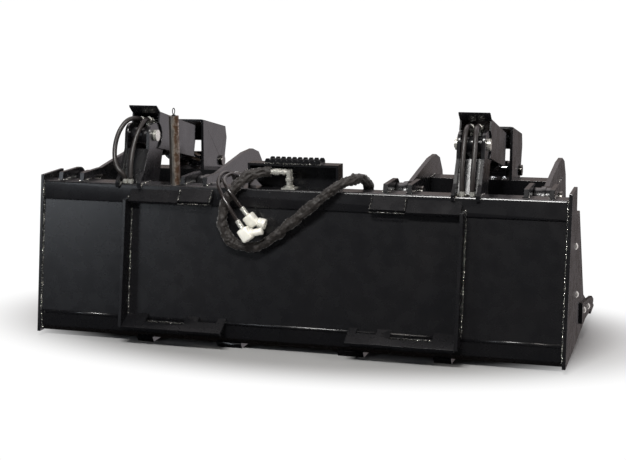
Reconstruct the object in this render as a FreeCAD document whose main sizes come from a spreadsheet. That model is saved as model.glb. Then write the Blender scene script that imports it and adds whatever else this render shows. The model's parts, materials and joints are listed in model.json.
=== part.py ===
import FreeCAD, Part
import math
import os

import Sketcher

# Skid steer grapple bucket: a low bucket with a quick-attach back and two independent jaws,
# each driven by its own hydraulic cylinder under a folded guard.
# Frame: +X across the bucket, +Y forward to the cutting edge, +Z up. The origin is on the ground,
# under the middle of the bucket. Millimetres.

V = FreeCAD.Vector
doc = FreeCAD.newDocument("GrappleBucket")
sheet = doc.addObject("Spreadsheet::Sheet", "Sizes")


class Size:
    """A number that remembers the sheet expression it came from."""

    def __init__(self, text, value):
        self.text = text
        self.value = float(value)

    def join(self, other, sign, value):
        return Size(f"({self.text} {sign} {as_size(other).text})", value)

    def __add__(self, other):
        return self.join(other, "+", self.value + float(other))

    def __sub__(self, other):
        return self.join(other, "-", self.value - float(other))

    def __mul__(self, other):
        return self.join(other, "*", self.value * float(other))

    def __truediv__(self, other):
        return self.join(other, "/", self.value / float(other))

    def __radd__(self, other):
        return as_size(other) + self

    def __rsub__(self, other):
        return as_size(other) - self

    def __rmul__(self, other):
        return as_size(other) * self

    def __neg__(self):
        return Size(f"(0 - {self.text})", -self.value)

    def __float__(self):
        return self.value


def as_size(number):
    return number if isinstance(number, Size) else Size(repr(float(number)), number)


row = 0


def size(alias, value, note):
    """Put one driving dimension in the sheet and return it."""
    global row
    row += 1
    sheet.set(f"A{row}", alias)
    sheet.set(f"B{row}", str(value))
    sheet.setAlias(f"B{row}", alias)
    sheet.set(f"C{row}", note)
    return Size(f"Sizes.{alias}", value)


# ---- driving dimensions -------------------------------------------------------------------------

width = size("width", 1850, "over the two end plates")
depth = size("depth", 870, "rear bottom corner to the tip of the cutting edge")
back_y = size("back_y", -409, "y of the rear bottom corner, which centres the object on the origin")
strap_t = size("strap_t", 20, "wear strap thickness, and so the height of the floor plate")
sheet_t = size("sheet_t", 8, "back sheet and floor plate")
end_t = size("end_t", 12, "end plate")
guard_plate_t = size("guard_plate_t", 12, "corner guard on the end plate")
edge_t = size("edge_t", 20, "cutting edge thickness")
edge_depth = size("edge_depth", 125, "cutting edge, front to back")

beam_t = size("beam_t", 6, "wall of the top beam")
beam_depth = size("beam_depth", 75, "top beam, front to back")

post_x = size("post_x", 583, "middle of a quick-attach side plate, from the centre")
post_t = size("post_t", 12, "quick-attach side plate")
flange_t = size("flange_t", 12, "quick-attach top and bottom lips")

grapple_inset = size("grapple_inset", 338, "end plate's outer face to the middle of a jaw")
tine_x = size("tine_x", 230, "middle of a jaw to the middle of its tine")
tine_t = size("tine_t", 16, "tine plate")
lug_t = size("lug_t", 16, "hinge lug plate")
bush_len = size("bush_len", 62, "length of a tine's hub")
hub_r = size("hub_r", 32, "outside radius of a tine's hub")
hinge_pin_r = size("hinge_pin_r", 15, "hinge pin")
side_gap = size("side_gap", 1.5, "running clearance at each side of a moving piece")
pin_gap = size("pin_gap", 0.06, "radial running clearance of a pin")

hinge_y = size("hinge_y", 235, "jaw hinge, forward of the rear bottom corner")
hinge_z = size("hinge_z", 510, "jaw hinge above the floor plate's underside")
base_pin_y = size("base_pin_y", 208, "cylinder base pin, forward of the rear bottom corner")
base_pin_z = size("base_pin_z", 682, "cylinder base pin above the floor plate's underside")
rod_pin_y = size("rod_pin_y", 792, "rod pin with the jaw closed")
rod_pin_z = size("rod_pin_z", 517, "rod pin with the jaw closed")
cyl_pin_r = size("cyl_pin_r", 12.7, "base pin and rod pin")
rod_eye_slack = size("rod_eye_slack", 7.3, "radial room round the rod pin in the rod eye")

upright_t = size("upright_t", 12, "cylinder bracket plate")
upright_in = size("upright_in", 34.5, "middle of a jaw to a bracket plate's inner face")
guard_t = size("guard_t", 6, "folded guard plate")
guard_out = size("guard_out", 53, "middle of a jaw to the guard's outer face")
ear_t = size("ear_t", 10, "ear plate on the jaw")
ear_out = size("ear_out", 71, "middle of a jaw to an ear's outer face")
inner_ear_in = size("inner_ear_in", 29, "middle of a jaw to an inner ear's inner face")
inner_ear_t = size("inner_ear_t", 12, "inner ear")

barrel_r = size("barrel_r", 30, "barrel outside radius")
bore_r = size("bore_r", 25.4, "barrel bore radius")
rod_r = size("rod_r", 14, "piston rod radius")
barrel_end = size("barrel_end", 425, "base pin to the front of the barrel tube")
gland_len = size("gland_len", 34, "rod gland, inside the barrel's mouth")
gland_nose = size("gland_nose", 14, "part of the gland that stands out of the barrel")
piston_len = size("piston_len", 38, "piston")

hose_r = size("hose_r", 8, "cylinder hose radius")
bundle_r = size("bundle_r", 19, "sleeved hose pair")
lead_r = size("lead_r", 6.5, "bare hose at the couplers")
bolt_r = size("bolt_r", 6, "carriage bolt shank")

doc.recompute()

# ---- helpers ------------------------------------------------------------------------------------

parts = []          # every object that is written out
VIEWS = {"side": "YZ_Plane", "front": "XZ_Plane", "top": "XY_Plane"}


def side(y, z):
    """A side view point, measured from the bucket's rear bottom corner."""
    return back_y + y, strap_t + z


def keep(obj, name):
    obj.Label = name
    parts.append(obj)
    return obj


def bind(obj, prop, value):
    obj.setExpression(prop, as_size(value).text)


def new_sketch(body, view, level):
    """A sketch on one of the body's own planes, moved along the plane's normal to level."""
    plane = next(f for f in body.Origin.OriginFeatures if f.Role == VIEWS[view])
    sketch = body.newObject("Sketcher::SketchObject", "Sketch")
    sketch.AttachmentSupport = [(plane, "")]
    sketch.MapMode = "FlatFace"
    bind(sketch, "AttachmentOffset.Base.z", level)
    return sketch


def fix_point(sketch, geometry, end, point):
    for kind, value in zip(("DistanceX", "DistanceY"), point):
        index = sketch.addConstraint(Sketcher.Constraint(kind, -1, 1, geometry, end, float(value)))
        bind(sketch, f"Constraints[{index}]", value)


def draw_outline(sketch, outline):
    first = sketch.GeometryCount
    ends = [V(float(a), float(b), 0) for a, b in outline]
    count = len(ends)
    for i in range(count):
        sketch.addGeometry(Part.LineSegment(ends[i], ends[(i + 1) % count]), False)
    for i in range(count):
        sketch.addConstraint(Sketcher.Constraint("Coincident", first + i, 2, first + (i + 1) % count, 1))
    for i in range(count):
        fix_point(sketch, first + i, 1, outline[i])


def draw_circle(sketch, centre, radius):
    circle = Part.Circle(V(float(centre[0]), float(centre[1]), 0), V(0, 0, 1), float(radius))
    index = sketch.addGeometry(circle, False)
    fix_point(sketch, index, 3, centre)
    rule = sketch.addConstraint(Sketcher.Constraint("Radius", index, float(radius)))
    bind(sketch, f"Constraints[{rule}]", radius)


def pad_between(body, view, low, high, outlines=(), circles=()):
    """Extrude outlines and circles from low to high along the view's axis."""
    facing_back = view == "front"           # the front view's normal is -Y
    sketch = new_sketch(body, view, -as_size(high) if facing_back else as_size(low))
    for outline in outlines:
        draw_outline(sketch, outline)
    for centre, radius in circles:
        draw_circle(sketch, centre, radius)
    pad = body.newObject("PartDesign::Pad", "Pad")
    pad.Profile = sketch
    bind(pad, "Length", as_size(high) - low)
    return pad


def new_body():
    return doc.addObject("PartDesign::Body", "Body")


def plate(view, outline, low, high, holes=()):
    """A flat plate with round holes; holes are (centre, radius)."""
    body = new_body()
    pad_between(body, view, low, high, [outline], holes)
    return body


def disc(centre, radius, low, high, bore=None, view="side"):
    """A round bar or ring along the view's axis."""
    body = new_body()
    circles = [(centre, radius)] + ([(centre, bore)] if bore is not None else [])
    pad_between(body, view, low, high, circles=circles)
    return body


def cut_through(body, view, low, high, outlines=(), circles=()):
    """Pocket from low to high, and check that it removed something."""
    doc.recompute()
    before = body.Shape.Volume
    facing_back = view == "front"
    sketch = new_sketch(body, view, -as_size(low) if facing_back else as_size(high))
    for outline in outlines:
        draw_outline(sketch, outline)
    for centre, radius in circles:
        draw_circle(sketch, centre, radius)
    pocket = body.newObject("PartDesign::Pocket", "Pocket")
    pocket.Profile = sketch
    bind(pocket, "Length", as_size(high) - low)
    doc.recompute()
    if body.Shape.Volume >= before - 1:
        raise RuntimeError("a pocket removed nothing")
    return pocket


def round_corners(body, view, corners, radius):
    """Fillet the edges that run along the view's axis through the given corners."""
    doc.recompute()
    tip = body.Tip
    skip = {"side": 0, "front": 1, "top": 2}[view]
    names = []
    for number, edge in enumerate(tip.Shape.Edges, 1):
        flat = [tuple(c for axis, c in enumerate(vertex.Point) if axis != skip) for vertex in edge.Vertexes]
        for corner in corners:
            target = (float(corner[0]), float(corner[1]))
            if len(flat) == 2 and all(math.dist(point, target) < 0.01 for point in flat):
                names.append(f"Edge{number}")
    fillet = body.newObject("PartDesign::Fillet", "Fillet")
    fillet.Base = (tip, names)
    bind(fillet, "Radius", radius)
    return body


def group(members, name):
    compound = doc.addObject("Part::Compound", "Group")
    compound.Links = members
    return keep(compound, name)


def turned(body, points):
    """Revolve a closed profile of (along, radius) points about the body's own X axis."""
    sketch = new_sketch(body, "top", 0)
    draw_outline(sketch, points)
    spin = body.newObject("PartDesign::Revolution", "Revolution")
    spin.Profile = sketch
    spin.ReferenceAxis = (sketch, ["H_Axis"])
    spin.Angle = 360
    return spin


# ---- shared places ------------------------------------------------------------------------------

inner_x = width / 2 - end_t             # inner face of an end plate
jaw_x = width / 2 - grapple_inset       # middle of a jaw
hinge = side(hinge_y, hinge_z)
base_pin = side(base_pin_y, base_pin_z)
rod_pin = side(rod_pin_y, rod_pin_z)
edge_y = depth - edge_depth             # where the floor plate meets the cutting edge

BEAM_LOW, BEAM_HIGH = 463, 528          # top beam's underside and top above the floor plate
BEAM_LEAN = 11 / 65                     # forward lean of the back, per millimetre of height
beam_top = strap_t + BEAM_HIGH


def beam_rear(z):
    return 68 + (z - BEAM_LOW) * BEAM_LEAN


def beam_front(z):
    return beam_depth + beam_rear(z)


def outline(*points):
    """Side view outline from (y, z) pairs measured from the rear bottom corner."""
    return [side(y, z) for y, z in points]


def mirrored(sign, near, far):
    """The X range between two distances from the centre, on one side of it."""
    near, far = as_size(near), as_size(far)
    return (near, far) if sign > 0 else (-far, -near)


SIDES = ((-1, "left"), (1, "right"))

# ---- bucket shell -------------------------------------------------------------------------------

keep(plate("side", outline((12, 74), (12 + sheet_t * 0.987, 72.7), (76 + sheet_t * 1.014, BEAM_LOW),
                           (76, BEAM_LOW)), -inner_x, inner_x), "back_sheet")
keep(plate("side", outline((12, 74), (15, 20), (34, 0), (edge_y, 0), (edge_y, sheet_t), (38, sheet_t),
                           (15 + sheet_t, 23), (12 + sheet_t * 0.987, 72.7)), -inner_x, inner_x), "floor_plate")

beam = new_body()
pad_between(beam, "side", -inner_x, inner_x, [
    outline((beam_rear(463), 463), (beam_rear(528), 528), (beam_front(528), 528), (beam_front(463), 463)),
    outline((beam_rear(463 + beam_t) + beam_t, 463 + beam_t), (beam_rear(528 - beam_t) + beam_t, 528 - beam_t),
            (beam_front(528 - beam_t) - beam_t, 528 - beam_t),
            (beam_front(463 + beam_t) - beam_t, 463 + beam_t))])
keep(beam, "top_beam")

END_BOLTS = ((233, 353), (304, 175), (edge_y - 275, 82), (edge_y - 120, 58))     # dome bolts on the end plates
bolt_holes = [(side(y, z), bolt_r + 0.5) for y, z in END_BOLTS]
cutters, corner_guards = [], []
for sign, hand in SIDES:
    span = mirrored(sign, inner_x, width / 2)
    end = plate("side", outline((0, 0), (81, 548), (230, 550), (236, 457), (270, 457),
                                (edge_y - 240, 95), (edge_y - 55, 0)), *span, bolt_holes[:3])
    keep(end, f"end_plate_{hand}")
    cutters.append(plate("side", outline((270, 457), (330, 455), (edge_y - 189, 118), (edge_y, 45),
                                         (edge_y, 0), (edge_y - 55, 0), (edge_y - 240, 95)), *span, bolt_holes[3:]))
    corner_guards.append(plate("side", outline((edge_y - 340, 122), (edge_y + 35, 60), (depth - 20, 34),
                                               (depth - 20, edge_t), (edge_y - 45, edge_t), (edge_y - 340, 48)),
                               *mirrored(sign, width / 2, width / 2 + guard_plate_t), bolt_holes[2:]))
group(cutters, "side_cutters")
group(corner_guards, "corner_guards")

edge_x = width / 2 + guard_plate_t
keep(plate("side", outline((edge_y, 0), (edge_y, edge_t), (depth - 35, edge_t), (depth, 6), (depth, 0)),
           -edge_x, edge_x), "cutting_edge")

straps = []
for sign, _ in SIDES:
    for middle, half in ((215, 45), (525, 30)):
        straps.append(plate("side", outline((28, 0), (40, -strap_t), (edge_y - 60, -strap_t), (edge_y - 35, 0)),
                            *mirrored(sign, middle - half, middle + half)))
group(straps, "wear_straps")

end_bolts = []
DOME_R = 14
for sign, _ in SIDES:
    for number, (y, z) in enumerate(END_BOLTS):
        centre = side(y, z)
        outer = width / 2 + (guard_plate_t if number > 1 else 0)
        shank = new_body()
        pad_between(shank, "side", *mirrored(sign, inner_x - 12, outer), circles=[(centre, bolt_r)])
        dome = doc.addObject("Part::Sphere", "Dome")
        dome.Radius = DOME_R
        dome.Angle1 = 30
        turn = FreeCAD.Rotation(V(0, 1, 0), 90 * sign)
        drop = DOME_R * math.sin(math.radians(30))
        dome.Placement = FreeCAD.Placement(V(sign * (float(outer) - drop), float(centre[0]), float(centre[1])), turn)
        dome.setExpression("Placement.Base.x", (sign * (outer - drop)).text)
        bolt = doc.addObject("Part::Fuse", "Bolt")
        bolt.Base = shank
        bolt.Tool = dome
        end_bolts.append(bolt)
        end_bolts.append(disc(centre, bolt_r + 5, *mirrored(sign, inner_x - 10, inner_x), bore=bolt_r + 0.05))
group(end_bolts, "end_plate_bolts")

# ---- quick-attach frame -------------------------------------------------------------------------


def lip(rise):
    """Section of the sloped top lip, raised along the beam's rear face."""
    return outline((beam_rear(512 + rise), 512 + rise), (40, 475 + rise), (40 + flange_t * 0.72, 466.6 + rise),
                   (beam_rear(491.2 + rise), 491.2 + rise))


posts, top_lips, bottom_lips = [], [], []
post_in = post_x - post_t / 2
for sign, _ in SIDES:
    post = plate("side", outline((-52, 50), (25, 482), (beam_rear(482), 482), (68, 463), (76, 463), (12, 74),
                                 (13.33, 50)), *mirrored(sign, post_in, post_x + post_t / 2))
    posts.append(post)
    top_lips.append(plate("side", lip(0), *mirrored(sign, 397, post_in)))
    top_lips.append(plate("side", lip(6), *mirrored(sign, 274, 397)))
    flange = plate("side", outline((14.3, 88), (-52, 53), (-52 + flange_t * 0.467, 53 - flange_t * 0.883),
                                   (12.04, 73.2), (12, 74)), *mirrored(sign, 215, post_in))
    for near, far, reach in ((360, 500, -24), (245, 312, -8)):
        low, high = mirrored(sign, near, far)
        rear, front = back_y + reach, back_y + 30
        cut_through(flange, "top", strap_t + 30, strap_t + 110,
                    [[(low, rear), (high, rear), (high, front), (low, front)]])
    bottom_lips.append(flange)
    bottom_lips.append(plate("side", outline((12.36, 67.5), (2, 62), (2, 40), (13.89, 40)),
                             *mirrored(sign, 258, 520)))
group(posts, "attach_posts")
group(top_lips, "attach_top_lips")
group(bottom_lips, "attach_bottom_lips")

# ---- cylinder brackets and hinge lugs -----------------------------------------------------------

lug_in = bush_len / 2 + side_gap
lug_out = lug_in + lug_t
upright_out = upright_in + upright_t
hinge_lugs, hinge_pins, base_pins, pin_nuts = [], [], [], []
HEAD_T, NUT_T = 11, 12


def pinned(centre, middle, reach, radius, head_r):
    """A headed pin with its nut: the head is on the +X side, reach is from the middle to a seat."""
    pin = new_body()
    pad_between(pin, "side", middle - reach - NUT_T - 4, middle + reach, circles=[(centre, radius)])
    pad_between(pin, "side", middle + reach, middle + reach + HEAD_T, circles=[(centre, head_r)])
    nut = disc(centre, head_r, middle - reach - NUT_T, middle - reach, bore=radius + pin_gap)
    return pin, nut


for sign, hand in SIDES:
    middle = sign * jaw_x
    for offset in (-1, 1):
        tine_middle = middle + offset * tine_x
        for low, high in ((-lug_out, -lug_in), (lug_in, lug_out)):
            lug = plate("side", outline((97, 528), (105, 556), (281, 556), (281, 464), (225, 464),
                                        (beam_front(478), 478), (beam_front(528), 528)),
                        tine_middle + low, tine_middle + high, [(hinge, hinge_pin_r + pin_gap)])
            round_corners(lug, "side", outline((281, 556), (281, 464)), 44)
            hinge_lugs.append(lug)
        pin, nut = pinned(hinge, tine_middle, lug_out, hinge_pin_r, 23)
        hinge_pins.append(pin)
        pin_nuts.append(nut)
    bracket = []
    for low, high in ((-upright_out, -upright_in), (upright_in, upright_out)):
        upright = plate("side", outline((66, 535), (66, 515), (beam_rear(515), 515), (beam_rear(528), 528),
                                        (beam_front(528), 528), (beam_front(495), 495), (226, 505), (277, 629),
                                        (251, 725), (165, 725), (151, 640), (101, 566)),
                        middle + low, middle + high, [(base_pin, cyl_pin_r + pin_gap)])
        round_corners(upright, "side", outline((251, 725), (165, 725)), 38)
        bracket.append(upright)
    bracket.append(plate("side", outline((108, 528), (116.5, 528), (164, 636), (156, 640)),
                         middle - upright_in, middle + upright_in))
    group(bracket, f"cylinder_bracket_{hand}")
    pin, nut = pinned(base_pin, middle, upright_out, cyl_pin_r, 20)
    base_pins.append(pin)
    pin_nuts.append(nut)
group(hinge_lugs, "hinge_lugs")
group(hinge_pins, "hinge_pins")
group(base_pins, "base_pins")
group(pin_nuts, "pin_nuts")

# ---- centre: hose box, step, supply elbows, stow post -------------------------------------------

BOX_X, BOX_TOP, BOX_REAR, BOX_T, DRAIN = 158, 612, 96, 8, 24
box_front = beam_front(528)
box = plate("front", [(x, strap_t + z) for x, z in (
    (-BOX_X, BEAM_HIGH), (-BOX_X, BOX_TOP), (BOX_X, BOX_TOP), (BOX_X, BEAM_HIGH), (BOX_X - BOX_T, BEAM_HIGH),
    (BOX_X - BOX_T, BOX_TOP - BOX_T), (BOX_T - BOX_X, BOX_TOP - BOX_T), (BOX_T - BOX_X, BEAM_HIGH))],
            back_y + BOX_REAR, back_y + box_front - BOX_T)
pad_between(box, "front", back_y + box_front - BOX_T, back_y + box_front, [[
    (-BOX_X, beam_top), (-BOX_X, beam_top + 84), (BOX_X, beam_top + 84), (BOX_X, beam_top),
    (BOX_X - BOX_T, beam_top), (BOX_X - BOX_T, beam_top + DRAIN), (BOX_X - BOX_T - DRAIN, beam_top),
    (BOX_T + DRAIN - BOX_X, beam_top), (BOX_T - BOX_X, beam_top + DRAIN), (BOX_T - BOX_X, beam_top)]])
keep(box, "hose_box")

STEP_X, TOOTH, STEP_T = 97, 19.4, 4
step_floor = strap_t + BOX_TOP
teeth = [(-STEP_X, step_floor)]
for n in range(10):
    left = -STEP_X + n * TOOTH
    teeth += [(left, step_floor + 10), (left + 4, step_floor + 17), (left + TOOTH - 4, step_floor + 17),
              (left + TOOTH - 1, step_floor + 10)]
teeth += [(STEP_X, step_floor + 10), (STEP_X, step_floor)]
step = plate("front", teeth, back_y + BOX_REAR, back_y + BOX_REAR + STEP_T)
step_front = back_y + box_front
pad_between(step, "front", step_front - STEP_T, step_front, [teeth])
pad_between(step, "top", step_floor, step_floor + STEP_T, [[
    (-STEP_X, back_y + BOX_REAR), (STEP_X, back_y + BOX_REAR), (STEP_X, step_front), (-STEP_X, step_front)]])
keep(step, "step_tread")

SUPPLY_Y, SUPPLY_Z, PIPE_R = 100, 585, 8
elbows = []
for y in (SUPPLY_Y - 9, SUPPLY_Y + 9):
    elbow = disc((as_size(-12), back_y + y), PIPE_R, beam_top + 5, strap_t + SUPPLY_Z + PIPE_R, view="top")
    pad_between(elbow, "side", as_size(-75), as_size(-12), circles=[(side(y, SUPPLY_Z), PIPE_R - 0.5)])
    elbows.append(elbow)
elbows.append(plate("top", [(-36, back_y + SUPPLY_Y - 20), (12, back_y + SUPPLY_Y - 20),
                            (12, back_y + SUPPLY_Y + 20), (-36, back_y + SUPPLY_Y + 20)], beam_top, beam_top + 5))
group(elbows, "supply_elbows")

POST_TOP, POST_R, POST_WALL, POST_GAP = 764, 17, 3.5, 1.5
post_at = (tine_x - jaw_x - lug_out - POST_R - POST_GAP, back_y + 102)
keep(disc(post_at, POST_R, beam_top, strap_t + POST_TOP, bore=POST_R - POST_WALL, view="top"), "stow_post")
cap = disc(post_at, POST_R - POST_WALL, strap_t + POST_TOP - 12, strap_t + POST_TOP, view="top")
pad_between(cap, "top", strap_t + POST_TOP, strap_t + POST_TOP + 4, circles=[(post_at, 6)])
RING_R, RING_WIRE = 10, 1.6
ring = doc.addObject("Part::Torus", "Ring")
ring.Radius1 = RING_R
ring.Radius2 = RING_WIRE
ring.Placement = FreeCAD.Placement(
    V(float(post_at[0]), float(post_at[1]), float(strap_t) + POST_TOP + 4 + RING_R + RING_WIRE), FreeCAD.Rotation(V(0, 1, 0), 90))
ring.setExpression("Placement.Base.x", post_at[0].text)
ring.setExpression("Placement.Base.y", post_at[1].text)
group([cap, ring], "stow_post_plug")

oil_lines = []
for sign, _ in SIDES:
    for y in (104, 124):
        oil_lines.append(disc(side(y, 490), 6, *mirrored(sign, 20, jaw_x - 20)))
group(oil_lines, "oil_lines")

# ---- jaws ---------------------------------------------------------------------------------------

JAW = ((193, 552), (193, 464), (330, 458), (540, 440), (640, 424), (700, 350))
PEAK = ((700, 580), (600, 578), (430, 556), (300, 538))
TUBE_REAR, TUBE_FRONT, TUBE_LOW, TUBE_TOP, TUBE_T = 600, 690, 432, 507, 6
ear_in = ear_out - ear_t
for sign, hand in SIDES:
    middle = sign * jaw_x
    tines, hubs = [], []
    for offset in (-1, 1):
        tine_middle = middle + offset * tine_x
        claw = outline(*JAW, (depth - 133, 240), (depth - 92, 120), (depth - 22, 27), (depth - 2, 27),
                       (depth + 0, 120), (depth - 4, 260), (depth - 20, 410), (depth - 48, 505),
                       (depth - 102, 560), *PEAK)
        tine = plate("side", claw, tine_middle - tine_t / 2, tine_middle + tine_t / 2, [(hinge, hub_r)])
        round_corners(tine, "side", outline(*JAW[:2]), 40)
        tines.append(tine)
        hubs.append(disc(hinge, hub_r, tine_middle - bush_len / 2, tine_middle + bush_len / 2,
                         bore=hinge_pin_r + pin_gap))
    group(tines, f"jaw_tines_{hand}")
    group(hubs, f"jaw_hubs_{hand}")

    reach = tine_x - tine_t / 2
    member = new_body()
    pad_between(member, "side", middle - reach, middle + reach, [
        outline((TUBE_REAR, TUBE_LOW), (TUBE_REAR, TUBE_TOP), (TUBE_FRONT, TUBE_TOP), (TUBE_FRONT, TUBE_LOW)),
        outline((TUBE_REAR + TUBE_T, TUBE_LOW + TUBE_T), (TUBE_REAR + TUBE_T, TUBE_TOP - TUBE_T),
                (TUBE_FRONT - TUBE_T, TUBE_TOP - TUBE_T), (TUBE_FRONT - TUBE_T, TUBE_LOW + TUBE_T))])
    lower_tube = disc((back_y + depth - 67, strap_t + 205), 30, middle - reach, middle + reach, bore=24)
    group([member, lower_tube], f"jaw_cross_tubes_{hand}")

    ears = []
    pin_hole = [(rod_pin, cyl_pin_r + pin_gap)]
    for low, high in ((-ear_out, -ear_in), (ear_in, ear_out)):
        ears.append(plate("side", outline((604, TUBE_TOP), (612, 696), (850, 646), (862, 600), (822, 486),
                                          (TUBE_FRONT, 486), (TUBE_FRONT, TUBE_TOP)),
                          middle + low, middle + high, pin_hole))
    ears.append(plate("side", outline((612, 696), (850, 646), (862, 600), (857, 586), (849.5, 588.6),
                                      (853.6, 600), (843.4, 639), (611.6, 687.7)), middle - ear_in, middle + ear_in))
    group(ears, f"jaw_ear_box_{hand}")
    inner = []
    for low in (-inner_ear_in - inner_ear_t, inner_ear_in):
        inner.append(plate("side", outline((TUBE_FRONT, 486), (TUBE_FRONT, TUBE_TOP), (728, TUBE_TOP), (765, 545),
                                           (800, 550), (828, 530), (830, 486)),
                           middle + low, middle + low + inner_ear_t, pin_hole))
    group(inner, f"jaw_inner_ears_{hand}")
    group(pinned(rod_pin, middle, ear_out, cyl_pin_r, 20), f"rod_pin_{hand}")

# ---- cylinders, in a frame of their own: +X from the base pin to the rod pin --------------------

run_y = float(rod_pin[0]) - float(base_pin[0])
run_z = float(rod_pin[1]) - float(base_pin[1])
pin_to_pin = math.hypot(run_y, run_z)
slope = math.degrees(math.atan2(run_z, run_y))
TILT = FreeCAD.Rotation(V(1, 0, 0), slope).multiply(FreeCAD.Rotation(V(0, 0, 1), 90))


def on_cylinder(sign):
    return FreeCAD.Placement(V(sign * float(jaw_x), float(base_pin[0]), float(base_pin[1])), TILT)


def lay_on_cylinder(body, sign, name):
    body.Placement = on_cylinder(sign)
    bind(body, "Placement.Base.x", sign * jaw_x)
    bind(body, "Placement.Base.y", base_pin[0])
    bind(body, "Placement.Base.z", base_pin[1])
    return keep(body, name)


def saddled(body, sign):
    """Trim a fitting to sit on the barrel's outside, then place it on its cylinder."""
    tool = doc.addObject("Part::Cylinder", "BarrelOutside")
    bind(tool, "Radius", barrel_r)
    bind(tool, "Height", barrel_end)
    tool.Placement.Rotation = FreeCAD.Rotation(V(0, 1, 0), 90)
    cut = doc.addObject("Part::Cut", "Fitting")
    cut.Base = body
    cut.Tool = tool
    cut.Placement = on_cylinder(sign)
    return cut


EYE_R, EYE_HALF = 28, upright_in - 1.5
PISTON_AT = barrel_end - gland_len - 10 - piston_len     # rear face of the piston with the jaw closed
CAP_P, PORT_S, PORT_P = 81, 30, 58                       # guard height, elbow mouth along and above the axis
for sign, hand in SIDES:
    barrel = new_body()
    turned(barrel, [(0, 0), (0, EYE_R), (20, EYE_R), (38, barrel_r), (barrel_end, barrel_r), (barrel_end, bore_r),
                    (58, bore_r), (58, 0)])
    pad_between(barrel, "front", -EYE_HALF, EYE_HALF, circles=[((0, 0), EYE_R)])
    cut_through(barrel, "front", -EYE_HALF - 1, EYE_HALF + 1, circles=[((0, 0), cyl_pin_r + pin_gap)])
    lay_on_cylinder(barrel, sign, f"cylinder_barrel_{hand}")

    gland = new_body()
    gland_r = bore_r - 0.05
    turned(gland, [(barrel_end - gland_len, rod_r + pin_gap), (barrel_end - gland_len, gland_r),
                   (barrel_end, gland_r), (barrel_end, 22), (barrel_end + gland_nose, 22),
                   (barrel_end + gland_nose, rod_r + pin_gap)])
    lay_on_cylinder(gland, sign, f"rod_gland_{hand}")

    piston = new_body()
    turned(piston, [(PISTON_AT, 10), (PISTON_AT, bore_r - 0.08), (PISTON_AT + piston_len, bore_r - 0.08),
                    (PISTON_AT + piston_len, 10)])
    lay_on_cylinder(piston, sign, f"piston_{hand}")

    rod = new_body()
    rod_eye_bore = cyl_pin_r + rod_eye_slack
    turned(rod, [(PISTON_AT - 8, 0), (PISTON_AT - 8, 10), (PISTON_AT + piston_len, 10),
                 (PISTON_AT + piston_len, rod_r), (pin_to_pin - 26, rod_r), (pin_to_pin - 26, 0)])
    eye_half = inner_ear_in - side_gap
    eye_at = (as_size(pin_to_pin), as_size(0))
    pad_between(rod, "front", -eye_half, eye_half, circles=[(eye_at, 34)])
    cut_through(rod, "front", -eye_half - 1, eye_half + 1, circles=[(eye_at, rod_eye_bore)])
    lay_on_cylinder(rod, sign, f"piston_rod_{hand}")

    # port elbows on the barrel's top; a steel line takes one of them on to the front port
    fittings = []
    for x in (-14, 14):
        elbow = disc((70, x), 10, 10, PORT_P + 10, view="top")
        pad_between(elbow, "side", PORT_S, 70, circles=[((x, PORT_P), hose_r)])
        fittings.append(saddled(elbow, sign))
    line = disc((barrel_end - 20, 14), 9, 10, PORT_P + 7, view="top")
    pad_between(line, "side", 80, barrel_end - 20, circles=[((14, PORT_P), 5)])
    fittings.append(saddled(line, sign))
    group(fittings, f"port_fittings_{hand}")

    guard = new_body()
    rear, front = 14, 354
    side_plate = [(rear, CAP_P), (front, CAP_P + 9), (front + 12, -22), (rear + 6, -42), (rear, -38)]
    for low, high in ((-guard_out, guard_t - guard_out), (guard_out - guard_t, guard_out)):
        pad_between(guard, "front", low, high, [side_plate])
    pad_between(guard, "front", -guard_out, guard_out, [[
        (rear - 35, CAP_P + 21), (rear, CAP_P + guard_t), (front, CAP_P + 9 + guard_t), (front, CAP_P + 9),
        (rear, CAP_P), (rear - 33, CAP_P + 15)]])
    cut_through(guard, "front", -guard_out - 1, guard_out + 1, circles=[((0, 0), 48)])
    lay_on_cylinder(guard, sign, f"cylinder_guard_{hand}")
    clamps = [disc((0, 0), guard_out - guard_t, at, at + 25, bore=barrel_r + 0.05) for at in (150, 300)]
    for clamp in clamps:
        clamp.Placement = on_cylinder(sign)
    group(clamps, f"guard_clamps_{hand}")

# ---- hoses --------------------------------------------------------------------------------------


def corner_points(points):
    """Route points given as x, and y and z from the rear bottom corner."""
    return [V(x, float(back_y) + y, float(strap_t) + z) for x, y, z in points]


def hose(name, points, radius):
    """Straight runs joined by tangent arcs, swept with a round section."""
    edges, start, tightest = [], points[0], math.inf
    for a, b, c in zip(points, points[1:], points[2:]):
        before, after = b - a, c - b
        half = before.getAngle(after) / 2
        reach = 0.45 * min(before.Length, after.Length)
        bend = reach / math.tan(half)
        tightest = min(tightest, bend)
        before.normalize()
        after.normalize()
        inward = after - before
        inward.normalize()
        arc_in, arc_out = b - before * reach, b + after * reach
        middle = b + inward * (bend / math.cos(half) - bend)
        edges.append(Part.LineSegment(start, arc_in).toShape())
        edges.append(Part.Arc(arc_in, middle, arc_out).toShape())
        start = arc_out
    edges.append(Part.LineSegment(start, points[-1]).toShape())
    path = Part.Wire(edges)
    ring = Part.Wire(Part.makeCircle(float(radius), points[0], points[1] - points[0]))
    shape = path.makePipeShell([ring], True, False)
    ratio = shape.Volume / (math.pi * float(radius) ** 2 * path.Length)
    print(f"{name}: length {path.Length:.0f}, tightest bend {tightest:.0f}, volume over section x length {ratio:.4f}")
    return shape


def keep_shape(shape, name):
    feature = doc.addObject("Part::Feature", "Hose")
    feature.Shape = shape
    return keep(feature, name)


BULKHEAD_T, MOUTH_GAP = 14, 0.3
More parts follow.
